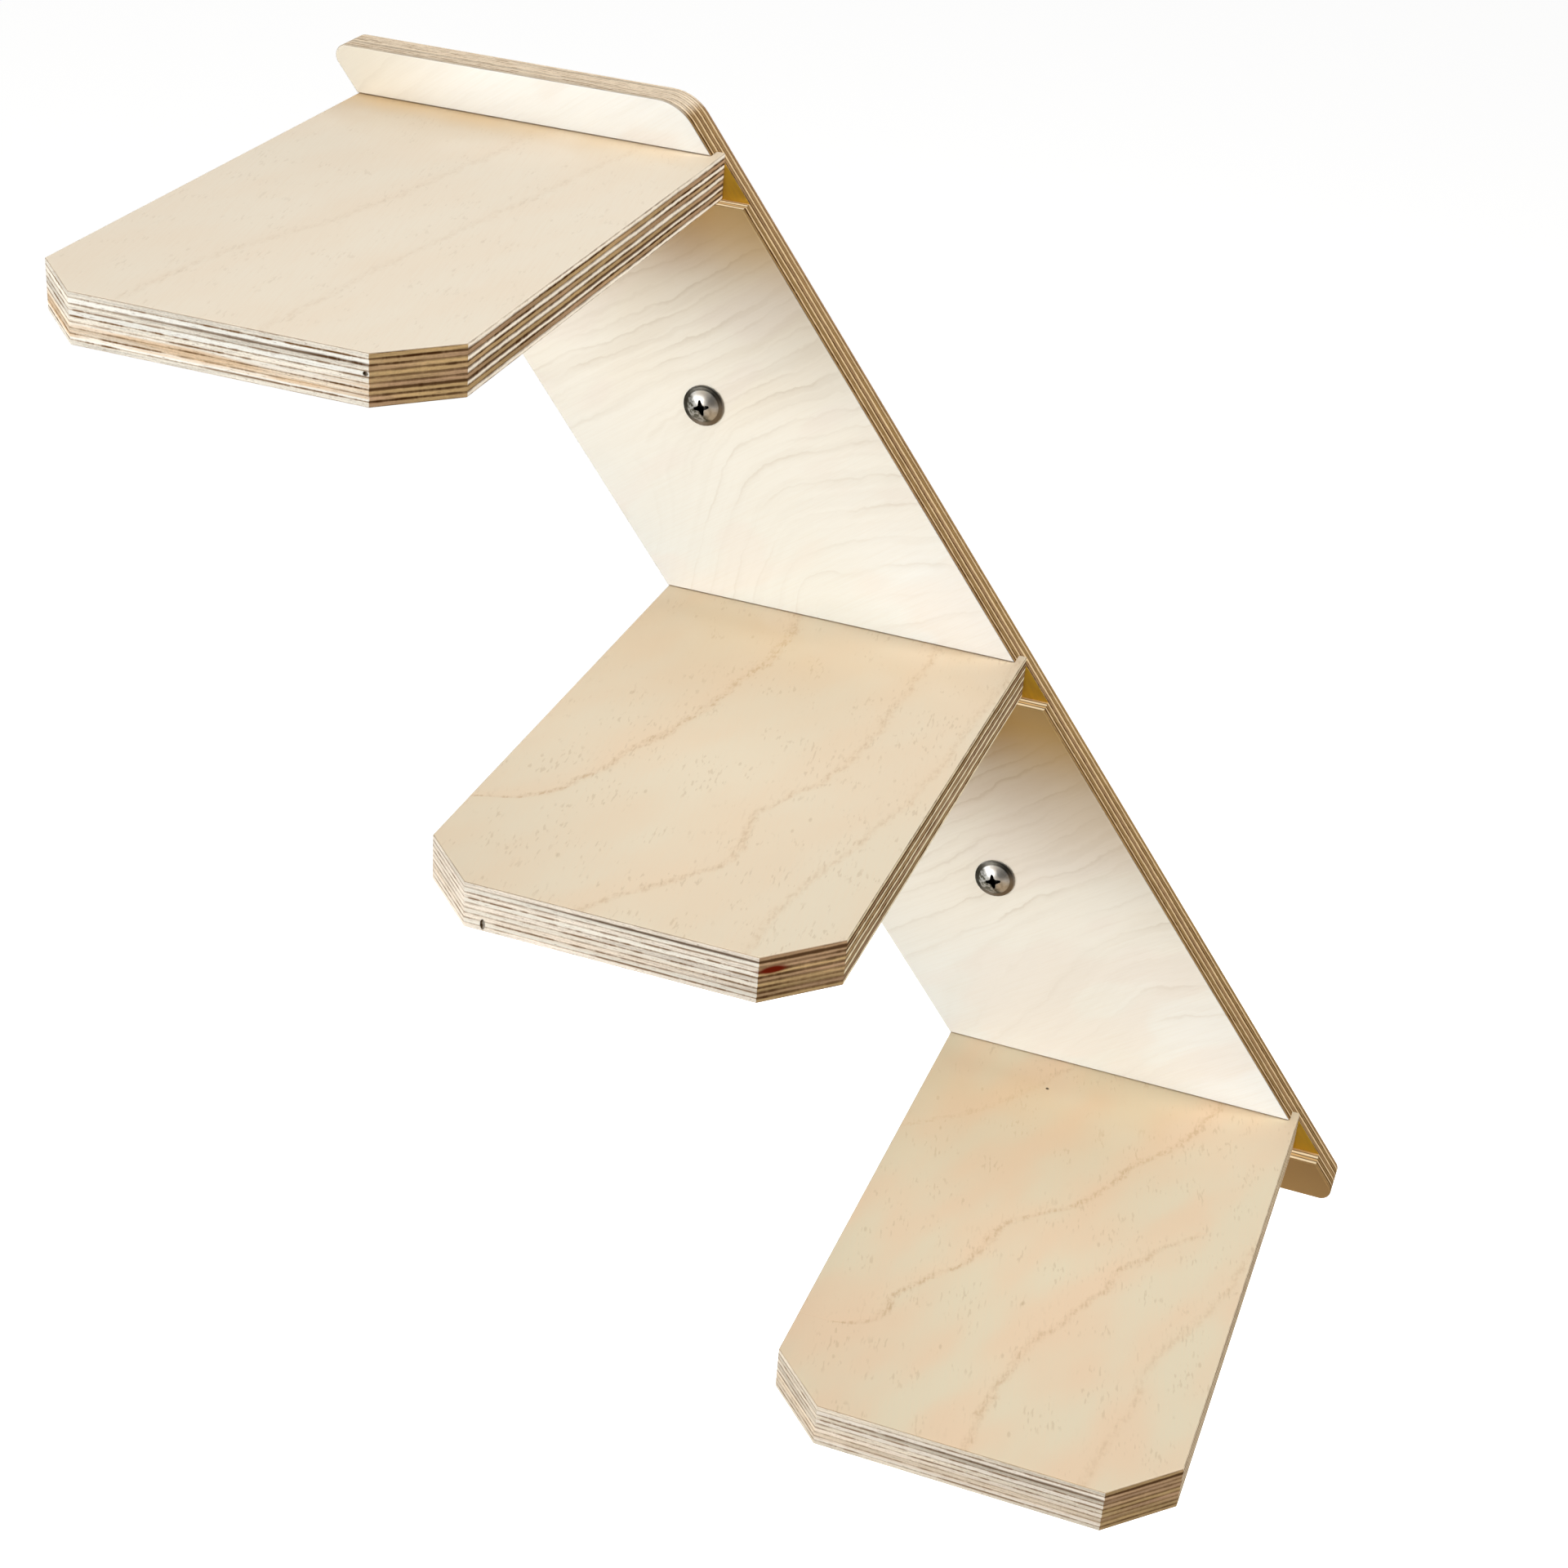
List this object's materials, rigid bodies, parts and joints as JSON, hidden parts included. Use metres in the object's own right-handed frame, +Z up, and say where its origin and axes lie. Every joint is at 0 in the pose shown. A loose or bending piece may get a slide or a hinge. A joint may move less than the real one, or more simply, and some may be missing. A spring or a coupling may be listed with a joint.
{
  "type": "cat stairs",
  "caption": "Wall-mounted cat stairs: level plywood steps with cut front corners, seated in grooves across a slanting plywood back plate that is screwed to the wall.",
  "frame": {"origin": "midway between the two wall screws, on the back plate's rear face, which is also level with the middle of the middle step's thickness", "axes": "+X right along the wall as seen from the front, +Y square into the wall, +Z up"},
  "size_m": [0.305, 0.201, 0.275],
  "materials": {
    "plate_plywood": "bare birch plywood, sanded, plies showing on the edges",
    "step_plywood": "bare birch plywood, sanded, plies showing on the edges",
    "bright_screw_steel": "bright zinc plated",
    "yellow_screw_steel": "yellow zinc plated"
  },
  "bodies": {
    "root": {"back_plate": "plate_plywood", "upper_step": "step_plywood", "middle_step": "step_plywood", "lower_step": "step_plywood", "upper_wall_screw": "bright_screw_steel", "lower_wall_screw": "bright_screw_steel", "upper_step_screw_left": "yellow_screw_steel", "upper_step_screw_right": "yellow_screw_steel", "middle_step_screw_left": "yellow_screw_steel", "middle_step_screw_right": "yellow_screw_steel", "lower_step_screw_left": "yellow_screw_steel", "lower_step_screw_right": "yellow_screw_steel"}
  },
  "joints": []
}
